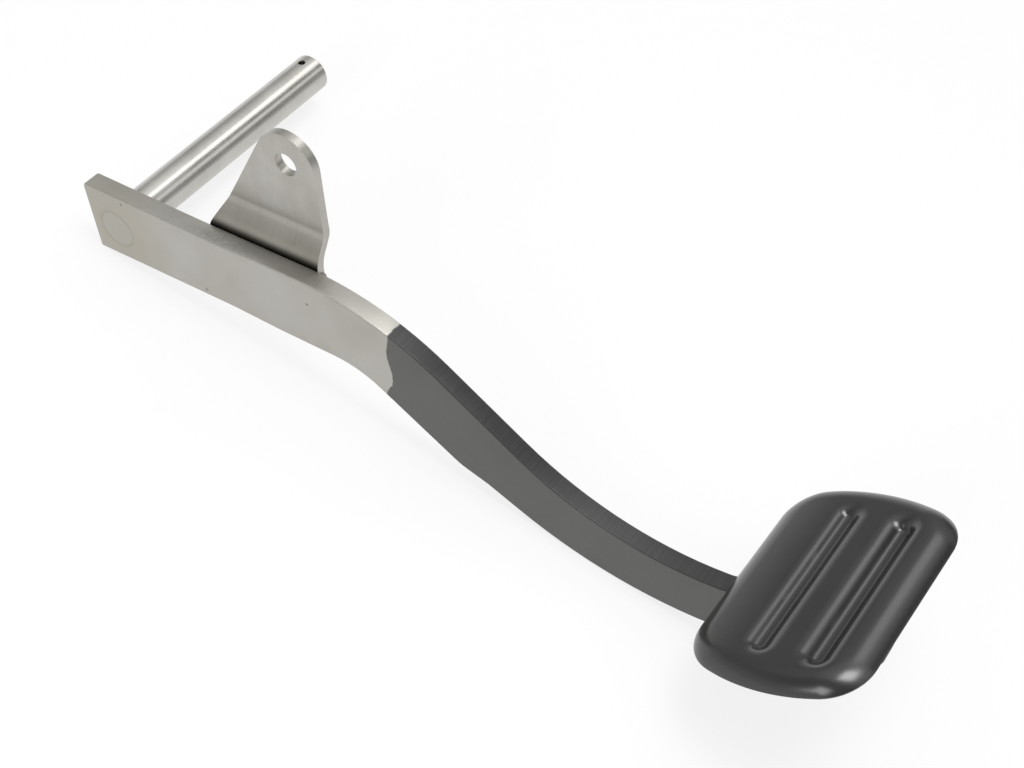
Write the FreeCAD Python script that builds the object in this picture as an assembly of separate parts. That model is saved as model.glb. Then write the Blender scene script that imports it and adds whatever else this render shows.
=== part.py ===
import FreeCAD, Part
import os
from math import atan2, cos, radians, sin, tan

# Clutch pedal, welded from steel plate, bar and pressings. Lengths in mm.
# It is drawn with the straight of the arm along X, the shaft along +Y and the
# origin on the shaft's axis at the arm's inner face, then turned about the
# shaft so that it lies as it does on a bench.
bench_tilt = 12.0

# arm: one flat plate, shaped only in its own plane
arm_thick = 8.0
arm_back = -12.7          # upper end, behind the shaft
back_lean = 1.1           # its upper corner stands further back
arm_top = 17.0            # upper edge of the straight
arm_bottom = -14.2        # lower edge of the straight
arm_edge = 0.5            # broken edges
back_rise = 0.9           # the upper edge climbs a little to that corner
rise_x = 40.0
rise_radius = 300.0
back_corner = 2.0
foot_corner = 1.0
dip_x = 127.6             # upper edge dips away from the straight
dip_radius = 110.0
sweep_x = 226.7           # and sweeps back out towards the pad
sweep_z = -49.6
sweep_radius = 120.0
seat_x = 274.1            # where it turns up under the pad
seat_z = -43.05
seat_radius = 10.0
seat_short = 11.27        # the tip stops short of the pad's far rim
tip_corner = 3.0
tip_depth = 23.4
heel_corner = 9.0
belly_x = 251.2           # lower edge, back from the tip
belly_z = -82.0
belly_radius = 150.0
knuckle_x = 175.5
knuckle_z = -47.9
knuckle_radius = 20.0
flank_x = 163.0
flank_z = -43.8
flank_radius = 25.0
hollow_x = 118.5
hollow_z = -15.8
hollow_radius = 40.0
waist_x = 82.0
waist_z = -15.3
waist_radius = 150.0
taper_x = 58.0            # the lower edge of the straight ends here

# shaft: round bar with a turned spigot through the arm, welded at the outer face
shaft_dia = 16.5
spigot_dia = 15.0
shaft_length = 117.0      # beyond the inner face
shaft_chamfer = 1.0
pin_hole_dia = 3.2
pin_hole_inset = 6.6      # from the free end
shaft_weld_leg = 1.4

# lug: joggled sheet on the arm's inner face
lug_sheet = 3.5
lug_left = 45.3
lug_right = 97.8
lug_foot = 3.0            # lower edge of the lap on the arm
lug_slope = 58.7          # left edge, degrees from the arm
lug_top_radius = 13.0
lug_corner = 3.0
lug_shoulder = 6.0
lug_hole_dia = 9.5
joggle_low = 20.0
joggle_high = 31.0
joggle = 6.0
bend_inside = 14.0
lug_weld_leg = 3.0

# pad: pressed cap with a rolled edge and two grooves
pad_tilt = 22.2           # from the straight of the arm
pad_twist = -1.9          # about its own face
pad_offset = 1.3          # centre, from the arm's inner face
pad_across = 67.2         # over the rim
pad_along = 95.3
pad_side_bow = 73.5
pad_corner = 18.0
pad_depth = 5.8
pad_roll = 8.8
pad_sheet = 2.5
pad_margin = 2.07         # from the turn in the arm to the rim
groove_pitch = 21.2
groove_length = 65.2
groove_across = 5.4       # middle of the pair, from the pad's centre
groove_shift = -0.6
groove_radius = 3.2
groove_lip = 2.8          # radius of the lips
groove_ease = 12.0        # angle at which they meet the face
pad_weld_leg = 2.6
rim_weld = 3.0            # lengths of the runs
rib_weld = 7.0

side_used = 0.99          # the most of a side that its two corners may take

V = FreeCAD.Vector
X, Y, Z = V(1, 0, 0), V(0, 1, 0), V(0, 0, 1)
O = V(0, 0, 0)


def rounded(corners):
    # closed wire through the corners, each (point, radius) turned by an arc;
    # arcs that would meet on the side between them are drawn smaller
    count = len(corners)
    points = [p for p, r in corners]
    sides = [points[(i + 1) % count] - p for i, p in enumerate(points)]
    halves = [(sides[i - 1] * -1).getAngle(sides[i]) / 2 for i in range(count)]
    reaches = [r / tan(half) for (p, r), half in zip(corners, halves)]
    limits = [1.0] * count
    for i, side in enumerate(sides):
        after = (i + 1) % count
        wanted = (reaches[i] + reaches[after]) / (side.Length * side_used)
        if wanted > 1:
            limits[i] = min(limits[i], 1 / wanted)
            limits[after] = min(limits[after], 1 / wanted)
    ends = []
    for i, p in enumerate(points):
        reach = reaches[i] * limits[i]
        if reach == 0:
            ends.append((p, None, p))
            continue
        r = reach * tan(halves[i])
        a = (sides[i - 1] * -1).normalize()
        b = V(sides[i]).normalize()
        middle = (a + b).normalize()
        ends.append((p + a * reach, p + middle * (r / sin(halves[i]) - r), p + b * reach))
    edges = []
    for i, (start, through, stop) in enumerate(ends):
        if through is not None:
            edges.append(Part.Arc(start, through, stop).toShape())
        after = ends[(i + 1) % count][0]
        if stop.distanceToPoint(after) > 1e-6:
            edges.append(Part.LineSegment(stop, after).toShape())
    return Part.Wire(Part.__sortEdges__(edges))


def prism(corners, along):
    return Part.Face(rounded(corners)).extrude(along)


def slab(low, high):
    size = high - low
    return Part.makeBox(size.x, size.y, size.z, low)


# directions of the pad's seat: along it towards the tip, and out of the face
seat_along = V(cos(radians(pad_tilt)), 0, sin(radians(pad_tilt)))
seat_out = V(-sin(radians(pad_tilt)), 0, cos(radians(pad_tilt)))
seat = V(seat_x, 0, seat_z)
shaft_r = shaft_dia / 2
spigot_r = spigot_dia / 2


def pedal_arm():
    tip = seat + seat_along * (pad_margin + pad_across - seat_short)
    heel = tip - seat_out * tip_depth
    profile = [
        (arm_back - back_lean, arm_top + back_rise, back_corner),
        (rise_x, arm_top, rise_radius),
        (dip_x, arm_top, dip_radius),
        (sweep_x, sweep_z, sweep_radius),
        (seat.x, seat.z, seat_radius),
        (tip.x, tip.z, tip_corner),
        (heel.x, heel.z, heel_corner),
        (belly_x, belly_z, belly_radius),
        (knuckle_x, knuckle_z, knuckle_radius),
        (flank_x, flank_z, flank_radius),
        (hollow_x, hollow_z, hollow_radius),
        (waist_x, waist_z, waist_radius),
        (taper_x, arm_bottom, waist_radius),
        (arm_back, arm_bottom, foot_corner),
    ]
    plate = prism([(V(x, -arm_thick, z), r) for x, z, r in profile], Y * arm_thick)
    rims = [e for e in plate.Edges if abs(e.CenterOfMass.y + arm_thick) < 1e-6
            or abs(e.CenterOfMass.y) < 1e-6]
    plate = plate.makeChamfer(arm_edge, rims)
    bore = Part.makeCylinder(spigot_r, arm_thick, V(0, -arm_thick, 0), Y)
    mouth = Part.makeCone(spigot_r + shaft_weld_leg, spigot_r, shaft_weld_leg, V(0, -arm_thick, 0), Y)
    return plate.cut([bore, mouth])


def pivot_shaft():
    bar = Part.makeCylinder(shaft_r, shaft_length, O, Y)
    end = [e for e in bar.Edges if e.Curve.TypeId == "Part::GeomCircle" and e.CenterOfMass.y > shaft_length / 2]
    bar = bar.makeChamfer(shaft_chamfer, end)
    bar = bar.fuse(Part.makeCylinder(spigot_r, arm_thick, V(0, -arm_thick, 0), Y))
    at = V(0, shaft_length - pin_hole_inset, -shaft_dia)
    hole = Part.makeCylinder(pin_hole_dia / 2, shaft_dia * 2, at, Z)
    return bar.cut(hole)


def shaft_weld():
    # fills the mouth of the bore, dressed flush with the outer face
    cone = Part.makeCone(spigot_r + shaft_weld_leg, spigot_r, shaft_weld_leg, V(0, -arm_thick, 0), Y)
    return cone.cut(Part.makeCylinder(spigot_r, shaft_weld_leg, V(0, -arm_thick, 0), Y))


def lug_outline():
    # the left edge runs up to meet the right edge; the top arc rounds that corner
    peak = arm_top + (lug_right - lug_left) * tan(radians(lug_slope))
    return [
        (V(lug_left, 0, lug_foot), lug_corner),
        (V(lug_left, 0, arm_top), lug_shoulder),
        (V(lug_right, 0, peak), lug_top_radius),
        (V(lug_right, 0, lug_foot), lug_corner),
    ]


def lug_eye():
    # centre of the top arc
    x = lug_right - lug_top_radius
    lean = radians(90 - lug_slope)
    rise = (x - lug_left) / tan(lean) - lug_top_radius / sin(lean)
    return V(x, 0, arm_top + rise)


def pushrod_lug():
    eye = lug_eye()
    top = eye.z + lug_top_radius + lug_sheet
    lean = atan2(joggle, joggle_high - joggle_low)
    shift = lug_sheet * tan(lean / 2)
    outer = bend_inside + lug_sheet
    section = [
        (V(0, 0, lug_foot - lug_sheet), 0),
        (V(0, 0, joggle_low), outer),
        (V(0, joggle, joggle_high), bend_inside),
        (V(0, joggle, top), 0),
        (V(0, joggle + lug_sheet, top), 0),
        (V(0, joggle + lug_sheet, joggle_high - shift), outer),
        (V(0, lug_sheet, joggle_low - shift), bend_inside),
        (V(0, lug_sheet, lug_foot - lug_sheet), 0),
    ]
    width = lug_right - lug_left
    sheet = prism([(p + X * (lug_left - width), r) for p, r in section], X * width * 3)
    blank = prism(lug_outline(), Y * (joggle + lug_sheet * 2))
    hole = Part.makeCylinder(lug_hole_dia / 2, joggle + lug_sheet * 2, V(eye.x, 0, eye.z), Y)
    return sheet.common(blank).cut(hole)


def lug_weld():
    # one run down each side of the lap, in the corner that it makes with the arm
    runs = []
    for x, side in ((lug_left, -1), (lug_right, 1)):
        foot = V(x, 0, lug_foot + lug_corner)
        rod = Part.makeCylinder(lug_weld_leg, arm_top - lug_corner - foot.z, foot, Z)
        low = V(min(x, x + side * lug_weld_leg), 0, lug_foot)
        runs.append(rod.common(slab(low, low + V(lug_weld_leg, lug_weld_leg, arm_top))))
    return Part.Compound(runs)


def bowed(half, height, radius):
    # ends of an arc of this radius that bulges to the height over the middle
    return height - radius + (radius ** 2 - half ** 2) ** 0.5


def pad_form(inset, low):
    # block with bowed ends and round corners, its upper edge rolled;
    # u (X here) runs across the grooves and v (Y here) along them
    past = pad_roll - (pad_roll ** 2 - (pad_roll - pad_depth) ** 2) ** 0.5
    a = pad_across / 2 + past - inset
    b = pad_along / 2 + past - inset
    side = bowed(a, b, pad_side_bow - inset)
    corner = [V(-a, -side, low), V(a, -side, low), V(a, side, low), V(-a, side, low)]
    plan = Part.Wire([
        Part.Arc(corner[0], V(0, -b, low), corner[1]).toShape(),
        Part.LineSegment(corner[1], corner[2]).toShape(),
        Part.Arc(corner[2], V(0, b, low), corner[3]).toShape(),
        Part.LineSegment(corner[3], corner[0]).toShape(),
    ])
    top = pad_depth - inset
    block = Part.Face(plan).extrude(Z * (top - low))
    uprights = [e for e in block.Edges if abs(e.tangentAt(e.FirstParameter).z) > 0.999]
    block = block.makeFillet(pad_corner - inset, uprights)
    rim = [e for e in block.Edges if e.BoundBox.ZMin > top - 0.01]
    return block.makeFillet(pad_roll - inset, rim)


def groove_lines():
    return [groove_across - groove_pitch / 2, groove_across + groove_pitch / 2]


def groove_ends(u):
    half = groove_length / 2 - groove_radius
    level = pad_sheet + groove_radius
    return V(u, groove_shift - half, level), V(u, groove_shift + half, level)


def rib(u):
    # back of the groove, a sheet thickness outside it
    start, stop = groove_ends(u)
    run = stop - start
    radius = groove_radius + pad_sheet
    rod = Part.makeCylinder(radius, run.Length, start, run)
    return rod.fuse([Part.makeSphere(radius, start), Part.makeSphere(radius, stop)]).removeSplitter()


def groove(u):
    # trough whose lips ease over into the face: one section, pulled along the
    # groove and turned round at both ends
    start, stop = groove_ends(u)
    lean = radians(groove_ease)
    lip_z = pad_depth - groove_lip * cos(lean) - start.z
    lip_x = ((groove_radius + groove_lip) ** 2 - lip_z ** 2) ** 0.5
    lip = V(lip_x, 0, lip_z)
    touch = lip * (groove_radius / (groove_radius + groove_lip))
    crest = lip + Z * groove_lip
    over = lip + ((touch - lip).normalize() + Z).normalize() * groove_lip
    floor = Z * -groove_radius
    low = (touch + floor).normalize() * groove_radius
    sky = V(lip_x, 0, groove_radius)

    def arc(p, q, r):
        return Part.Arc(p, q, r).toShape()

    def line(p, q):
        return Part.LineSegment(p, q).toShape()

    def flip(p):
        return V(-p.x, 0, p.z)

    half = Part.Face(Part.Wire([
        arc(floor, low, touch), arc(touch, over, crest), line(crest, sky),
        line(sky, Z * sky.z), line(Z * sky.z, floor)]))
    both = Part.Face(Part.Wire([
        arc(flip(touch), floor, touch), arc(touch, over, crest), line(crest, sky), line(sky, flip(sky)),
        line(flip(sky), flip(crest)), arc(flip(crest), flip(over), flip(touch))]))
    run = both.extrude(stop - start)
    near = half.revolve(O, Z, -180)
    far = half.revolve(O, Z, 180)
    far.translate(stop - start)
    tool = run.fuse([near, far])
    tool.translate(start)
    return tool


def pad_place(shape):
    # from the pad's own rim plane to its seat on the arm
    centre = seat + seat_along * (pad_margin + pad_across / 2) + Y * pad_offset
    shape.rotate(O, Z, pad_twist)
    shape.rotate(O, Y, -pad_tilt)
    shape.translate(centre)
    return shape


def pedal_pad():
    low = -pad_roll
    under = slab(V(-pad_across, -pad_along, low * 2), V(pad_across, pad_along, 0))
    whole = pad_form(0, low)
    hollow = pad_form(pad_sheet, low - pad_sheet)
    ribs = [rib(u).common(hollow) for u in groove_lines()]
    cap = whole.cut(hollow).fuse(ribs).cut(under).removeSplitter()
    return pad_place(cap.cut([groove(u) for u in groove_lines()]).removeSplitter())


def pad_weld():
    # short runs where the rim and the groove backs bear on the arm, both sides;
    # each is (middle, half length, height that it fills above the seat)
    pad = pedal_pad()
    middle = pad_margin + pad_across / 2
    places = [(pad_margin + rim_weld / 2, rim_weld / 2, 0)]
    for u in groove_lines():
        places.append((middle + u, rib_weld / 2, pad_weld_leg / 2))
    runs = []
    for at, half, rise in places:
        for face, low in ((0, 0), (-arm_thick, -arm_thick - pad_weld_leg)):
            corner = slab(V(at - half, low, -pad_weld_leg), V(at + half, low + pad_weld_leg, rise))
            corner.rotate(O, Y, -pad_tilt)
            corner.translate(seat)
            rod = Part.makeCylinder(pad_weld_leg, half * 2, seat + seat_along * (at - half) + Y * face, seat_along)
            runs += rod.common(corner).cut(pad).Solids
    return Part.Compound(runs)


nodes = {
    "pedal_arm": pedal_arm,
    "pivot_shaft": pivot_shaft,
    "shaft_weld": shaft_weld,
    "pushrod_lug": pushrod_lug,
    "lug_weld": lug_weld,
    "pedal_pad": pedal_pad,
    "pad_weld": pad_weld,
}

os.makedirs("parts", exist_ok=True)
for name, make in nodes.items():
    shape = make()
    shape.rotate(O, Y, -bench_tilt)
    shape.exportStep("parts/" + name + ".step")
    box = shape.BoundBox
    print(name, shape.isValid(), len(shape.Solids), round(shape.Volume, 1),
          [round(n, 2) for n in (box.XMin, box.XMax, box.YMin, box.YMax, box.ZMin, box.ZMax)])
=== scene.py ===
from math import atan2, hypot, pi, radians, sin, tan

import bmesh
import bpy
from mathutils import Matrix, Vector


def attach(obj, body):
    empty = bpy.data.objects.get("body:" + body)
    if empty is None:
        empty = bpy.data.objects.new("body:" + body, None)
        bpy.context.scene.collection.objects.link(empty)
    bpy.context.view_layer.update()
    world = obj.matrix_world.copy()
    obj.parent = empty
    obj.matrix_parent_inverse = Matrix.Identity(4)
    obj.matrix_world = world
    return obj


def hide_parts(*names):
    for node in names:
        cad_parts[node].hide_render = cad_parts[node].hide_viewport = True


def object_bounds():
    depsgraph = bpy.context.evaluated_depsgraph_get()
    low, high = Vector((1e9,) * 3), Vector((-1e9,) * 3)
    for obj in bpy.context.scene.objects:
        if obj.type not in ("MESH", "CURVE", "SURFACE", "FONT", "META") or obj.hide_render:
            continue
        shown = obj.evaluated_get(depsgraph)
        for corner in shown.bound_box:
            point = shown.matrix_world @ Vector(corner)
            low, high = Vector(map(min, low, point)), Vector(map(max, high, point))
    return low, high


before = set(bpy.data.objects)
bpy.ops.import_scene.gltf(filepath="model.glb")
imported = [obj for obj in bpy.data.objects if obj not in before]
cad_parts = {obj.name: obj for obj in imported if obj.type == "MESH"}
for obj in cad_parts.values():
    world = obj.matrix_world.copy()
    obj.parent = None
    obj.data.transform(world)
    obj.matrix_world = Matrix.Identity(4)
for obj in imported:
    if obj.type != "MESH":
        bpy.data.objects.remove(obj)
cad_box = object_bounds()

# Pedal arm: one blank cut from 8 mm steel plate and shaped only in its own
# plane. Its upper half is left as ground bare steel and its lower half is
# painted with the pad, up to an uneven line past the first bend.
arm_tilt = radians(12.0)
mm_in_metre = 1000.0
outer_face = -8.0
sharp_from = radians(50.0)


def linear(code):
    # sRGB hex to linear colour
    parts = []
    for i in (1, 3, 5):
        share = int(code[i:i + 2], 16) / 255
        parts.append(share / 12.92 if share <= 0.04045 else ((share + 0.055) / 1.055) ** 2.4)
    return (*parts, 1.0)


def add(tree, kind, inputs=None, stops=(), **settings):
    # one shader node with its settings, values and links, and a colour ramp's
    # stops with its two ends first
    node = tree.nodes.new("ShaderNode" + kind)
    for name, value in settings.items():
        setattr(node, name, value)
    for number, (position, colour) in enumerate(stops):
        ramp = node.color_ramp.elements
        stop = ramp[number] if number < 2 else ramp.new(position)
        stop.position = position
        stop.color = colour
    for socket, value in (inputs or {}).items():
        if isinstance(value, bpy.types.NodeSocket):
            tree.links.new(value, node.inputs[socket])
        else:
            node.inputs[socket].default_value = value
    return node


def new_material(name):
    # empty material, with the place on the part in mm from the shaft's axis at the
    # arm's inner face: along the arm's straight, along the shaft, and upwards
    material = bpy.data.materials.new(name)
    material.use_nodes = True
    tree = material.node_tree
    tree.nodes.clear()
    place = add(tree, "TexCoord").outputs["Object"]
    turned = add(tree, "Mapping", {"Vector": place, "Rotation": (0, arm_tilt, 0),
                                   "Scale": (mm_in_metre, mm_in_metre, mm_in_metre)})
    return material, tree, turned.outputs["Vector"]


def dressed(name, node, material, reshape=None):
    # the node's own shape with its triangles joined, so that light runs
    # smoothly over curves and breaks only at real edges
    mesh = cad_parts[node].data.copy()
    mesh.name = name
    mesh.attributes.remove(mesh.attributes["custom_normal"])
    bm = bmesh.new()
    bm.from_mesh(mesh)
    bmesh.ops.remove_doubles(bm, verts=bm.verts, dist=1e-6)
    if reshape:
        reshape(bm)
    for edge in bm.edges:
        edge.smooth = edge.calc_face_angle(0.0) < sharp_from
    for face in bm.faces:
        face.smooth = True
        face.material_index = 0
    bm.to_mesh(mesh)
    bm.free()
    mesh.materials.clear()
    mesh.materials.append(material)
    piece = bpy.data.objects.new(name, mesh)
    bpy.context.scene.collection.objects.link(piece)
    even = piece.modifiers.new("flat_faces_lead", "WEIGHTED_NORMAL")
    even.mode = "FACE_AREA"
    even.weight = 70
    even.keep_sharp = True
    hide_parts(node)
    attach(piece, "root")
    return piece


# ground plate has a soft grey shine with cloudy patches and fine grit, and its
# paint is a dull dark grey, painted darker over the cut edges as shade
arm_steel, tree, mm = new_material("ground_steel_half_painted")
along = add(tree, "SeparateXYZ", {"Vector": mm}).outputs
normal = add(tree, "TexCoord").outputs["Normal"]
facing = add(tree, "SeparateXYZ", {"Vector": normal}).outputs
sideways = add(tree, "Math", {0: facing["Y"]}, operation="ABSOLUTE").outputs[0]
on_edge = add(tree, "MapRange", {"Value": sideways, "From Min": 0.9, "From Max": 0.6},
              clamp=True).outputs["Result"]
# clouds are about 25 mm across, and the grit is drawn 0.8 mm wide so that it shows
cloud = add(tree, "TexNoise", {"Vector": mm, "Scale": 1 / 25, "Detail": 4.0,
                               "Roughness": 0.6}).outputs["Fac"]
grit = add(tree, "TexNoise", {"Vector": mm, "Scale": 1 / 0.8, "Detail": 3.0,
                              "Roughness": 0.7}).outputs["Fac"]
steel = add(tree, "ValToRGB", {"Fac": cloud},
            stops=((0.3, linear("#adaaa3")), (0.7, linear("#b7b5af")))).outputs["Color"]
flecked = add(tree, "MixRGB", {"Fac": 0.10, "Color1": steel, "Color2": grit},
              blend_type="OVERLAY").outputs["Color"]
# straw-coloured heat tint round the shaft's weld, gone 30 mm from its middle
from_shaft = add(tree, "VectorMath", {0: mm, 1: (0.0, outer_face, 0.0)},
                 operation="DISTANCE").outputs["Value"]
tint_near = add(tree, "MapRange", {"Value": from_shaft, "From Min": 30.0, "From Max": 8.0,
                                   "To Max": 0.5}, clamp=True).outputs["Result"]
tint_patch = add(tree, "Math", {0: tint_near, 1: cloud}, operation="MULTIPLY").outputs[0]
tinted = add(tree, "MixRGB", {"Fac": tint_patch, "Color1": flecked,
                              "Color2": linear("#a4977a")}).outputs["Color"]
# mottled grey scale left on the upper edge beside the lug, in 1.6 mm spots
scale_middle, scale_reach = (56.0, -5.0, 17.0), (30.0, 6.0, 3.0)
scale_off = add(tree, "VectorMath", {0: mm, 1: scale_middle}, operation="SUBTRACT").outputs["Vector"]
scale_share = add(tree, "VectorMath", {0: scale_off, 1: scale_reach}, operation="DIVIDE").outputs["Vector"]
scale_far = add(tree, "VectorMath", {0: scale_share}, operation="LENGTH").outputs["Value"]
scale_near = add(tree, "MapRange", {"Value": scale_far, "From Min": 1.0, "From Max": 0.2},
                 clamp=True).outputs["Result"]
scale_spots = add(tree, "TexNoise", {"Vector": mm, "Scale": 1 / 1.6, "Detail": 4.0,
                                     "Roughness": 0.7}).outputs["Fac"]
scale_mix = add(tree, "Math", {0: scale_near, 1: scale_spots}, operation="MULTIPLY").outputs[0]
scale_cover = add(tree, "MapRange", {"Value": scale_mix, "From Min": 0.18, "From Max": 0.62,
                                     "To Max": 0.42}, clamp=True).outputs["Result"]
bare_colour = add(tree, "MixRGB", {"Fac": scale_cover, "Color1": tinted,
                                   "Color2": linear("#5f5d58")}).outputs["Color"]
# three specks of rust on the outer face, each about 1 mm across
for speck in ((6.1, outer_face, 14.9), (97.4, outer_face, 6.5), (44.5, outer_face, -11.3)):
    speck_far = add(tree, "VectorMath", {0: mm, 1: speck}, operation="DISTANCE").outputs["Value"]
    speck_cover = add(tree, "MapRange", {"Value": speck_far, "From Min": 0.8, "From Max": 0.3,
                                         "To Max": 0.6}, clamp=True).outputs["Result"]
    bare_colour = add(tree, "MixRGB", {"Fac": speck_cover, "Color1": bare_colour,
                                       "Color2": linear("#3b3833")}).outputs["Color"]
# the paint ends in a line that waves by 0.75 mm every 21 mm down the plate and
# runs back by 3 mm at the lower edge, with ragged bits about 3 mm across
wave_high, wave_long, wave_crest = 0.75, 21.0, -12.0
swing = add(tree, "Math", {0: along["Z"], 1: 2 * pi / wave_long, 2: -2 * pi * wave_crest / wave_long},
            operation="MULTIPLY_ADD").outputs[0]
crests = add(tree, "Math", {0: swing}, operation="COSINE").outputs[0]
wave = add(tree, "Math", {0: crests, 1: wave_high}, operation="MULTIPLY").outputs[0]
run_back = add(tree, "MapRange", {"Value": along["Z"], "From Min": -17.0, "From Max": -24.0,
                                  "To Max": 3.0}, clamp=True).outputs["Result"]
ragged = add(tree, "TexNoise", {"Vector": mm, "Scale": 1 / 3, "Detail": 2.0,
                                "Roughness": 0.5}).outputs["Fac"]
line_shift = add(tree, "Math", {0: run_back, 1: wave}, operation="SUBTRACT").outputs[0]
line_ragged = add(tree, "Math", {0: ragged, 1: 1.2, 2: line_shift}, operation="MULTIPLY_ADD").outputs[0]
at_line = add(tree, "Math", {0: along["X"], 1: line_ragged}, operation="ADD").outputs[0]
paint = add(tree, "MapRange", {"Value": at_line, "From Min": 134.4, "From Max": 134.9},
            clamp=True).outputs["Result"]
peel = add(tree, "TexNoise", {"Vector": mm, "Scale": 1 / 1.4, "Detail": 2.0}).outputs["Fac"]
full_coat = add(tree, "ValToRGB", {"Fac": cloud},
                stops=((0.3, linear("#484845")), (0.7, linear("#4e4e4b")))).outputs["Color"]
# cut edges carry lines across the plate's thickness, drawn 0.9 mm apart so that
# they show, and the paint over them is coloured darker as painted shade
cut_place = add(tree, "VectorMath", {0: mm, 1: (0.9, 30.0, 0.9)}, operation="DIVIDE").outputs["Vector"]
cut_lines = add(tree, "TexNoise", {"Vector": cut_place, "Scale": 1.0, "Detail": 2.0,
                                   "Roughness": 0.8}).outputs["Fac"]
# painted shade: the coat on the cut edges is darker than on the faces
shade_coat = add(tree, "ValToRGB", {"Fac": cut_lines},
                stops=((0.35, linear("#252524")), (0.65, linear("#303030")))).outputs["Color"]
coat = add(tree, "MixRGB", {"Fac": on_edge, "Color1": full_coat, "Color2": shade_coat}).outputs["Color"]
# a thin near-black line is painted along the plate's corners
corner_turn = add(tree, "Math", {0: sideways, 1: 0.7}, operation="SUBTRACT").outputs[0]
off_corner = add(tree, "Math", {0: corner_turn}, operation="ABSOLUTE").outputs[0]
at_corner = add(tree, "MapRange", {"Value": off_corner, "From Min": 0.28, "From Max": 0.15},
                clamp=True).outputs["Result"]
lined_coat = add(tree, "MixRGB", {"Fac": at_corner, "Color1": coat,
                                  "Color2": linear("#0c0c0c")}).outputs["Color"]
colour = add(tree, "MixRGB", {"Fac": paint, "Color1": bare_colour, "Color2": lined_coat}).outputs["Color"]
cut_shown = add(tree, "Math", {0: cut_lines, 1: on_edge}, operation="MULTIPLY").outputs[0]
relief = add(tree, "MixRGB", {"Fac": paint, "Color1": grit, "Color2": peel}).outputs["Color"]
cut_relief = add(tree, "Math", {0: cut_shown, 1: 2.0, 2: relief}, operation="MULTIPLY_ADD").outputs[0]
height = add(tree, "Math", {0: paint, 1: 2.0, 2: cut_relief}, operation="MULTIPLY_ADD").outputs[0]
bump = add(tree, "Bump", {"Height": height, "Strength": 0.22, "Distance": 0.00006}).outputs["Normal"]
rough_steel = add(tree, "MapRange", {"Value": grit, "To Min": 0.36, "To Max": 0.48}).outputs["Result"]
rough_paint = add(tree, "MapRange", {"Value": peel, "To Min": 0.34, "To Max": 0.42}).outputs["Result"]
rough = add(tree, "MixRGB", {"Fac": paint, "Color1": rough_steel, "Color2": rough_paint}).outputs["Color"]
bare = add(tree, "Math", {0: 1.0, 1: paint}, operation="SUBTRACT").outputs[0]
surface = add(tree, "BsdfPrincipled", {"Base Color": colour, "Metallic": bare, "Roughness": rough,
                                       "Normal": bump})
add(tree, "OutputMaterial", {"Surface": surface.outputs["BSDF"]})
dressed("arm_plate", "pedal_arm", arm_steel)

# Pivot shaft: a length of bright round bar, turned to size, drilled for a
# split pin near its free end. Its spigot goes through the arm and is ground
# flush with the outer face.

# turned steel is bright, with clear light lines along the bar, slight clouds about
# 18 mm across and fine marks round it, drawn 0.7 mm apart so that they show
shaft_steel, tree, mm = new_material("turned_bright_steel")
along = add(tree, "SeparateXYZ", {"Vector": mm}).outputs
turn_place = add(tree, "VectorMath", {0: mm, 1: (60.0, 0.7, 60.0)}, operation="DIVIDE").outputs["Vector"]
turn_marks = add(tree, "TexNoise", {"Vector": turn_place, "Scale": 1.0, "Detail": 3.0,
                                    "Roughness": 0.7}).outputs["Fac"]
cloud = add(tree, "TexNoise", {"Vector": mm, "Scale": 1 / 18, "Detail": 4.0,
                               "Roughness": 0.6}).outputs["Fac"]
bright = add(tree, "ValToRGB", {"Fac": cloud},
             stops=((0.3, linear("#b7b5af")), (0.7, linear("#c8c6c1")))).outputs["Color"]
marked = add(tree, "MixRGB", {"Fac": 0.12, "Color1": bright, "Color2": turn_marks},
             blend_type="OVERLAY").outputs["Color"]
# the spigot's end is ground with the arm, so it is duller
flush = add(tree, "MapRange", {"Value": along["Y"], "From Min": -7.6, "From Max": -7.9},
            clamp=True).outputs["Result"]
colour = add(tree, "MixRGB", {"Fac": flush, "Color1": marked,
                              "Color2": linear("#b0ada4")}).outputs["Color"]
rough_bar = add(tree, "MapRange", {"Value": cloud, "To Min": 0.22, "To Max": 0.32}).outputs["Result"]
rough = add(tree, "Math", {0: flush, 1: 0.16, 2: rough_bar}, operation="MULTIPLY_ADD").outputs[0]
bump = add(tree, "Bump", {"Height": turn_marks, "Strength": 0.03, "Distance": 0.00004}).outputs["Normal"]
surface = add(tree, "BsdfPrincipled", {"Base Color": colour, "Metallic": 1.0, "Roughness": rough,
                                       "Normal": bump})
add(tree, "OutputMaterial", {"Surface": surface.outputs["BSDF"]})
dressed("turned_shaft", "pivot_shaft", shaft_steel)

# Weld round the spigot: laid in the mouth of the bore and ground off level,
# so that only a faint ring shows on the arm's outer face.

# ground weld is a shade darker than the plate, with specks about 1.2 mm across
ring_steel, tree, mm = new_material("ground_weld_steel")
speckle = add(tree, "TexNoise", {"Vector": mm, "Scale": 1 / 1.2, "Detail": 4.0,
                                 "Roughness": 0.7}).outputs["Fac"]
colour = add(tree, "ValToRGB", {"Fac": speckle},
             stops=((0.3, linear("#a19d94")), (0.7, linear("#aeaba3")))).outputs["Color"]
rough = add(tree, "MapRange", {"Value": speckle, "To Min": 0.36, "To Max": 0.5}).outputs["Result"]
bump = add(tree, "Bump", {"Height": speckle, "Strength": 0.3, "Distance": 0.0001}).outputs["Normal"]
surface = add(tree, "BsdfPrincipled", {"Base Color": colour, "Metallic": 1.0, "Roughness": rough,
                                       "Normal": bump})
add(tree, "OutputMaterial", {"Surface": surface.outputs["BSDF"]})
dressed("shaft_weld_ring", "shaft_weld", ring_steel)

# Pushrod lug: a sheet steel blank with a round head and a hole, set over by
# a joggle and welded by its lap to the arm's inner face. Left bare.
set_over = 6.0
# heights of the lower and upper bends and their radii, on the plain solid and here
plain_bends = 20.0, 31.0, 17.5, 14.0
drawn_bends = 19.6, 28.9, 14.0, 7.0
bend_foot, row_step, bend_rows = 14.0, 0.5, 44


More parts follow.
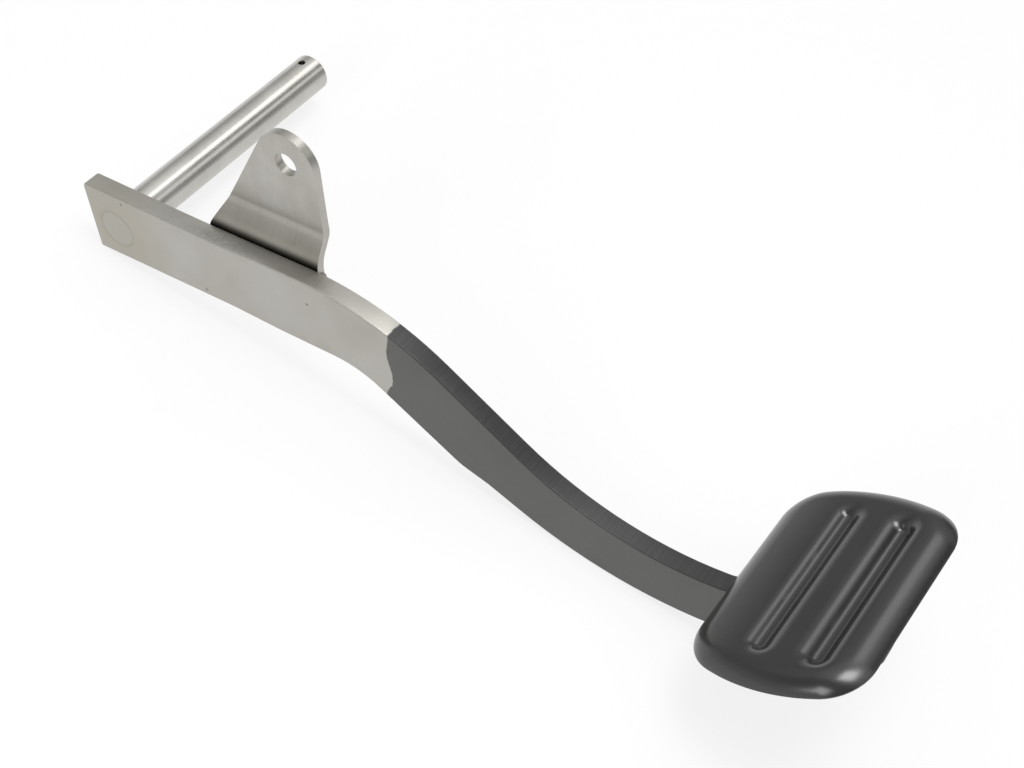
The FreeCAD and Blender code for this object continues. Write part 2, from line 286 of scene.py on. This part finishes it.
def step_over(z, low, high, low_radius, high_radius):
    # how far the sheet has set over at a height: an arc, a slope and an arc
    lean = atan2(set_over, high - low)
    start = low - low_radius * tan(lean / 2)
    stop = high + high_radius * tan(lean / 2)
    if z <= start:
        return 0.0
    if z >= stop:
        return set_over
    if z < start + low_radius * sin(lean):
        return low_radius - (low_radius ** 2 - (z - start) ** 2) ** 0.5
    if z > stop - high_radius * sin(lean):
        return set_over - high_radius + (high_radius ** 2 - (stop - z) ** 2) ** 0.5
    return (z - low) * tan(lean)


def crisp_joggle(bm):
    # the upper bend is tighter and lower than on the plain solid
    to_arm = Matrix.Rotation(arm_tilt, 4, "Y") @ Matrix.Scale(mm_in_metre, 4)
    bmesh.ops.transform(bm, matrix=to_arm, verts=bm.verts)
    for row in range(bend_rows):
        bmesh.ops.bisect_plane(bm, geom=bm.verts[:] + bm.edges[:] + bm.faces[:], dist=1e-4,
                               plane_co=(0, 0, bend_foot + row * row_step), plane_no=(0, 0, 1))
    for vert in bm.verts:
        vert.co.y += step_over(vert.co.z, *drawn_bends) - step_over(vert.co.z, *plain_bends)
    bmesh.ops.transform(bm, matrix=to_arm.inverted(), verts=bm.verts)


# rolled sheet is a plain grey with a soft shine, clouds about 16 mm across and a
# grain that runs up it, drawn 0.6 mm apart so that it shows
lug_steel, tree, mm = new_material("rolled_sheet_steel")
grain_place = add(tree, "VectorMath", {0: mm, 1: (0.6, 20.0, 14.0)}, operation="DIVIDE").outputs["Vector"]
grain = add(tree, "TexNoise", {"Vector": grain_place, "Scale": 1.0, "Detail": 3.0,
                               "Roughness": 0.6}).outputs["Fac"]
cloud = add(tree, "TexNoise", {"Vector": mm, "Scale": 1 / 16, "Detail": 4.0,
                               "Roughness": 0.6}).outputs["Fac"]
sheet = add(tree, "ValToRGB", {"Fac": cloud},
            stops=((0.3, linear("#aba8a1")), (0.7, linear("#bab8b2")))).outputs["Color"]
lined = add(tree, "MixRGB", {"Fac": 0.10, "Color1": sheet, "Color2": grain},
            blend_type="OVERLAY").outputs["Color"]
# the sheet's front is painted darker up to about 15 mm above the arm, most at its
# foot where it meets the arm, as painted shade; its edges and back are left bright
up = add(tree, "SeparateXYZ", {"Vector": mm}).outputs["Z"]
normal = add(tree, "TexCoord").outputs["Normal"]
facing = add(tree, "SeparateXYZ", {"Vector": normal}).outputs
in_front = add(tree, "MapRange", {"Value": facing["Y"], "From Min": -0.4, "From Max": -0.7},
               clamp=True).outputs["Result"]
up_share = add(tree, "MapRange", {"Value": up, "From Min": 17.0, "From Max": 37.0},
               clamp=True).outputs["Result"]
# painted shade, darkest where the sheet meets the arm
foot_shade = add(tree, "ValToRGB", {"Fac": up_share},
           stops=((0.0, linear("#3a3936")), (1.0, linear("#ffffff")), (0.22, linear("#d6d5d0"))))
foot_shade.color_ramp.interpolation = "EASE"
colour = add(tree, "MixRGB", {"Fac": in_front, "Color1": lined, "Color2": foot_shade.outputs["Color"]},
             blend_type="MULTIPLY").outputs["Color"]
rough = add(tree, "MapRange", {"Value": grain, "To Min": 0.32, "To Max": 0.42}).outputs["Result"]
bump = add(tree, "Bump", {"Height": grain, "Strength": 0.12, "Distance": 0.00005}).outputs["Normal"]
surface = add(tree, "BsdfPrincipled", {"Base Color": colour, "Metallic": 1.0, "Roughness": rough,
                                       "Normal": bump})
add(tree, "OutputMaterial", {"Surface": surface.outputs["BSDF"]})
dressed("joggled_lug", "pushrod_lug", lug_steel, crisp_joggle)

# Lug welds: two short fillet runs, one down each side of the lap, left as
# laid with their grey scale.

# weld as laid is dull and uneven, with ripples about 1.3 mm apart down the run
bead_steel, tree, mm = new_material("scaled_weld_steel")
ripple_place = add(tree, "VectorMath", {0: mm, 1: (8.0, 8.0, 1.3)}, operation="DIVIDE").outputs["Vector"]
ripple = add(tree, "TexNoise", {"Vector": ripple_place, "Scale": 1.0, "Detail": 3.0,
                                "Roughness": 0.6}).outputs["Fac"]
colour = add(tree, "ValToRGB", {"Fac": ripple},
             stops=((0.3, linear("#7d7a73")), (0.7, linear("#a5a29a")))).outputs["Color"]
rough = add(tree, "MapRange", {"Value": ripple, "To Min": 0.4, "To Max": 0.6}).outputs["Result"]
bump = add(tree, "Bump", {"Height": ripple, "Strength": 0.6, "Distance": 0.0004}).outputs["Normal"]
surface = add(tree, "BsdfPrincipled", {"Base Color": colour, "Metallic": 1.0, "Roughness": rough,
                                       "Normal": bump})
add(tree, "OutputMaterial", {"Surface": surface.outputs["BSDF"]})
dressed("lug_weld_runs", "lug_weld", bead_steel)

# Pedal pad: a cap pressed from 2.5 mm sheet, its edge rolled over, its long
# sides easing down to the roll, and two grooves pressed in for grip. It is
# welded to the arm by its rim and the groove backs, and sprayed satin black.
half_across, half_along, pad_depth, pad_sheet = 33.6, 47.65, 5.8, 2.5
rim_corner, end_bow, edge_roll = 17.47, 72.97, 8.8
bow_centre = half_along - end_bow
corner_u = half_across - rim_corner
corner_v = bow_centre + ((end_bow - rim_corner) ** 2 - corner_u ** 2) ** 0.5
roll_reach = (edge_roll ** 2 - (edge_roll - pad_depth) ** 2) ** 0.5
right_ease_from, right_ease_radius = 19.0, 40.0
left_ease_from, left_ease_radius = 12.5, 90.0
groove_middle, trough, trough_flat = -0.5, 3.4, 0.35
# each groove's line, half length, depth and the radii of its left and right lips
grooves = ((-6.15, 31.2, 2.8, 5.5, 8.0), (15.0, 30.2, 4.0, 7.4, 6.8))
rows_across, rows_along, row_crowding, halvings = 170, 220, 1.3, 20
pad_seat, pad_lean, pad_turn = (307.13, 1.3, -29.57), radians(-22.2), radians(-1.9)
pad_place = (Matrix.Scale(1 / mm_in_metre, 4) @ Matrix.Rotation(-arm_tilt, 4, "Y")
             @ Matrix.Translation(pad_seat)
             @ Matrix.Rotation(pad_lean, 4, "Y") @ Matrix.Rotation(pad_turn, 4, "Z"))


def rim_inset(u, v):
    # how far in from the rim: straight sides, bowed ends and round corners
    u, v = abs(u), abs(v)
    if v > corner_v and u * (corner_v - bow_centre) > (v - bow_centre) * corner_u:
        return rim_corner - hypot(u - corner_u, v - corner_v)
    return min(half_across - u, end_bow - hypot(u, v - bow_centre))


def groove_drop(across, past_end, deep, left_lip, right_lip):
    # a round trough, a little flat on its right, that turns over into a soft lip
    across -= min(max(across, 0.0), trough_flat)
    far = hypot(across, past_end)
    lip = left_lip + (right_lip - left_lip) * (1 + across / max(far, 1e-9)) / 2
    half_width = ((trough + lip) ** 2 - (trough + lip - deep) ** 2) ** 0.5
    if far >= half_width:
        return 0.0
    if far > half_width * trough / (trough + lip):
        return lip - (lip ** 2 - (half_width - far) ** 2) ** 0.5
    return deep - trough + (trough ** 2 - far ** 2) ** 0.5


def pad_height(u, v):
    # the outer face above the rim: rolled edge, eased sides and grooves
    inset = min(max(rim_inset(u, v), 0.0), roll_reach)
    z = pad_depth - edge_roll + (edge_roll ** 2 - (roll_reach - inset) ** 2) ** 0.5
    ease = max(u - right_ease_from, 0.0) ** 2 / (2 * right_ease_radius)
    ease += max(-u - left_ease_from, 0.0) ** 2 / (2 * left_ease_radius)
    z *= 1 - ease / pad_depth
    for line, half_run, deep, left_lip, right_lip in grooves:
        past_end = max(abs(v - groove_middle) - half_run, 0.0)
        z -= groove_drop(u - line, past_end, deep, left_lip, right_lip)
    return z


bm = bmesh.new()
bmesh.ops.create_grid(bm, x_segments=rows_across, y_segments=rows_along, size=1.0)
for vert in bm.verts:
    out = max(abs(vert.co.x), abs(vert.co.y), 1e-9)
    u, v = vert.co.x / out * half_across, vert.co.y / out * half_along
    # the square sheet is drawn in to the rim, with closer rows towards it
    low, high = 0.5, 1.0
    for halving in range(halvings):
        share = (low + high) / 2
        if rim_inset(u * share, v * share) > 0:
            low = share
        else:
            high = share
    share = low * (1 - (1 - out) ** row_crowding)
    vert.co = (u * share, v * share, pad_height(u * share, v * share))
bmesh.ops.solidify(bm, geom=bm.faces[:], thickness=pad_sheet)
for vert in bm.verts:
    vert.co.z = max(vert.co.z, 0.0)
bmesh.ops.recalc_face_normals(bm, faces=bm.faces)
for face in bm.faces:
    face.smooth = True
bmesh.ops.transform(bm, matrix=pad_place, verts=bm.verts)
pad_mesh = bpy.data.meshes.new("pressed_pad")
bm.to_mesh(pad_mesh)
bm.free()
pad_mesh.set_sharp_from_angle(angle=sharp_from)
pad = bpy.data.objects.new("pressed_pad", pad_mesh)
bpy.context.scene.collection.objects.link(pad)
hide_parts("pedal_pad")
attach(pad, "root")

# satin black paint is smooth and dark with soft clear reflections, slight clouds
# about 22 mm across and an orange-peel skin about 1.6 mm across
pad_coat, tree, mm = new_material("satin_black_paint")
peel = add(tree, "TexNoise", {"Vector": mm, "Scale": 1 / 1.6, "Detail": 2.0}).outputs["Fac"]
cloud = add(tree, "TexNoise", {"Vector": mm, "Scale": 1 / 22, "Detail": 4.0,
                               "Roughness": 0.6}).outputs["Fac"]
coat = add(tree, "ValToRGB", {"Fac": cloud},
           stops=((0.3, linear("#1a1a19")), (0.7, linear("#1f1f1e")))).outputs["Color"]
# the rim's lower edge is painted grey in patches at the near right corner
to_pad = pad_place.inverted()
place = add(tree, "TexCoord").outputs["Object"]
on_pad = add(tree, "Mapping", {"Vector": place, "Location": to_pad.translation,
                               "Rotation": to_pad.to_euler(),
                               "Scale": to_pad.to_scale()}).outputs["Vector"]
above_rim = add(tree, "SeparateXYZ", {"Vector": on_pad}).outputs["Z"]
at_rim = add(tree, "MapRange", {"Value": above_rim, "From Min": 0.35, "From Max": 0.10},
             clamp=True).outputs["Result"]
from_corner = add(tree, "VectorMath", {0: on_pad, 1: (30.0, -42.0, 0.0)},
                  operation="DISTANCE").outputs["Value"]
at_corner = add(tree, "MapRange", {"Value": from_corner, "From Min": 15.0, "From Max": 9.0},
                clamp=True).outputs["Result"]
patch_noise = add(tree, "TexNoise", {"Vector": mm, "Scale": 1 / 9, "Detail": 3.0,
                             "Roughness": 0.6}).outputs["Fac"]
patchy = add(tree, "MapRange", {"Value": patch_noise, "From Min": 0.38, "From Max": 0.5},
             clamp=True).outputs["Result"]
grey_edge = add(tree, "Math", {0: at_rim, 1: patchy}, operation="MULTIPLY").outputs[0]
rim_grey = add(tree, "Math", {0: grey_edge, 1: at_corner}, operation="MULTIPLY").outputs[0]
colour = add(tree, "MixRGB", {"Fac": rim_grey, "Color1": coat, "Color2": linear("#6f6e6a")}).outputs["Color"]
rough = add(tree, "MapRange", {"Value": peel, "To Min": 0.22, "To Max": 0.29}).outputs["Result"]
bump = add(tree, "Bump", {"Height": peel, "Strength": 0.10, "Distance": 0.00008}).outputs["Normal"]
surface = add(tree, "BsdfPrincipled", {"Base Color": colour, "Metallic": 0.0, "Roughness": rough,
                                       "IOR": 1.55, "Coat Weight": 0.35, "Coat Roughness": 0.22,
                                       "Normal": bump})
add(tree, "OutputMaterial", {"Surface": surface.outputs["BSDF"]})
pad_mesh.materials.append(pad_coat)

# Pad welds: short fillet runs under the rim and the groove backs, painted
# over with the pad.
dressed("pad_weld_runs", "pad_weld", pad_coat)

# Floor: a wide sheet of white card that the pedal lies on. It shows white to
# the camera and in reflections, and still takes the pedal's soft shadow.
floor_middle, floor_half, floor_gap = (0.16, 0.03), 4.0, 0.0002
floor_place = Matrix.Translation((*floor_middle, cad_box[0][2] - floor_gap))
bm = bmesh.new()
bmesh.ops.create_grid(bm, x_segments=1, y_segments=1, size=floor_half, matrix=floor_place)
floor_mesh = bpy.data.meshes.new("white_card")
bm.to_mesh(floor_mesh)
bm.free()
floor = bpy.data.objects.new("white_card", floor_mesh)
bpy.context.scene.collection.objects.link(floor)
card = bpy.data.materials.new("matt_white_card")
card.use_nodes = True
tree = card.node_tree
tree.nodes.clear()
ray = add(tree, "LightPath").outputs
mirrored = add(tree, "Math", {0: ray["Is Camera Ray"], 1: ray["Is Glossy Ray"]}, operation="ADD").outputs[0]
seen = add(tree, "Math", {0: mirrored, 1: ray["Is Transmission Ray"]}, operation="ADD",
           use_clamp=True).outputs[0]
matt = add(tree, "BsdfDiffuse", {"Color": linear("#eeeeee")}).outputs[0]
glow = add(tree, "Emission", {"Color": linear("#ffffff"), "Strength": 1.0}).outputs[0]
whitened = add(tree, "MixShader", {0: 0.8, 1: matt, 2: glow}).outputs[0]
surface = add(tree, "MixShader", {0: seen, 1: matt, 2: whitened})
add(tree, "OutputMaterial", {"Surface": surface.outputs[0]})
floor_mesh.materials.append(card)

# Light: a grey studio, darkest a little above the ground, shaded on the right and
# in front, with soft boxes overhead, behind and in front, a window behind on the
# right and two dark panels behind. The camera sees plain white past the floor.
# heights and greys of the walls, with the two ends of each ramp first
wall_greys = ((0.0, 0.38), (0.80, 0.54), (0.12, 0.36), (0.20, 0.235), (0.36, 0.20), (0.46, 0.32),
              (0.62, 0.36))
front_greys = ((0.0, 0.38), (0.45, 0.18), (0.2, 0.34))
window_way, window_bright = (0.62, 0.56, 0.55), 1.3
dark_panels = (((0.35, 0.59, 0.73), 0.15), ((0.11, 0.99, 0.11), 0.35))
pedal_middle = Vector((0.16, 0.0, 0.02))
world = bpy.data.worlds.new("studio")
bpy.context.scene.world = world
world.use_nodes = True
tree = world.node_tree
tree.nodes.clear()
way = add(tree, "TexCoord").outputs["Generated"]
ways = add(tree, "SeparateXYZ", {"Vector": way}).outputs
walls = add(tree, "ValToRGB", {"Fac": ways["Z"]},
            stops=[(height, (grey, grey, grey, 1.0)) for height, grey in wall_greys]).outputs["Color"]
front_wall = add(tree, "ValToRGB", {"Fac": ways["Z"]},
                 stops=[(height, (grey, grey, grey, 1.0)) for height, grey in front_greys]).outputs["Color"]
in_front = add(tree, "MapRange", {"Value": ways["Y"], "From Min": -0.1, "From Max": -0.4},
               clamp=True).outputs["Result"]
room = add(tree, "MixRGB", {"Fac": in_front, "Color1": walls, "Color2": front_wall}).outputs["Color"]
low_right = add(tree, "Math", {0: ways["Z"], 1: -0.8, 2: ways["X"]}, operation="MULTIPLY_ADD").outputs[0]
level = add(tree, "MapRange", {"Value": low_right, "From Min": -0.2, "From Max": 0.1,
                               "To Min": 2.0, "To Max": 1.4}, clamp=True).outputs["Result"]
for panel_way, panel_grey in dark_panels:
    panel_far = add(tree, "VectorMath", {0: way, 1: panel_way}, operation="DISTANCE").outputs["Value"]
    panel = add(tree, "MapRange", {"Value": panel_far, "From Min": 0.25, "From Max": 0.13,
                                   "To Min": 1.0, "To Max": panel_grey}, clamp=True).outputs["Result"]
    level = add(tree, "Math", {0: level, 1: panel}, operation="MULTIPLY").outputs[0]
room_light = add(tree, "Background", {"Color": room, "Strength": level}).outputs[0]
window_far = add(tree, "VectorMath", {0: way, 1: window_way}, operation="DISTANCE").outputs["Value"]
window = add(tree, "MapRange", {"Value": window_far, "From Min": 0.16, "From Max": 0.08,
                                "To Max": window_bright}, clamp=True).outputs["Result"]
window_light = add(tree, "Background", {"Color": linear("#ffffff"), "Strength": window}).outputs[0]
studio_light = add(tree, "AddShader", {0: room_light, 1: window_light}).outputs[0]
white_back = add(tree, "Background", {"Color": linear("#ffffff"), "Strength": 1.0}).outputs[0]
ray = add(tree, "LightPath").outputs
shown = add(tree, "MixShader", {0: ray["Is Camera Ray"], 1: studio_light, 2: white_back})
add(tree, "OutputWorld", {"Surface": shown.outputs[0]})


def soft_box(name, place, width, power):
    # a square lamp that faces the middle of the pedal
    lamp = bpy.data.lights.new(name, "AREA")
    lamp.shape = "SQUARE"
    lamp.size = width
    lamp.energy = power
    box = bpy.data.objects.new(name, lamp)
    box.location = place
    box.rotation_euler = (pedal_middle - Vector(place)).to_track_quat("-Z", "Y").to_euler()
    bpy.context.scene.collection.objects.link(box)


soft_box("overhead_box", (0.30, 0.03, 1.3), 0.50, 7.0)
soft_box("back_box", (0.12, 0.80, 1.15), 0.45, 1.1)
soft_box("front_box", (0.08, -1.16, 0.66), 0.6, 5.0)

# Camera: held above and in front of the arm's outer face, turned a little
# about its own axis, as in the reference view.
lens = bpy.data.cameras.new("view")
lens.sensor_width = 36.0
lens.lens = 56.25
camera = bpy.data.objects.new("view", lens)
right = Vector((0.82186, 0.55269, 0.13817))
down = Vector((0.51303, -0.61256, -0.60131))
ahead = Vector((-0.24770, 0.56507, -0.78698))
turn = Matrix((right, -down, -ahead)).transposed().to_4x4()
camera.matrix_world = Matrix.Translation((0.31775, -0.31815, 0.48460)) @ turn
bpy.context.scene.collection.objects.link(camera)
bpy.context.scene.camera = camera
bpy.context.scene.view_settings.view_transform = "Standard"
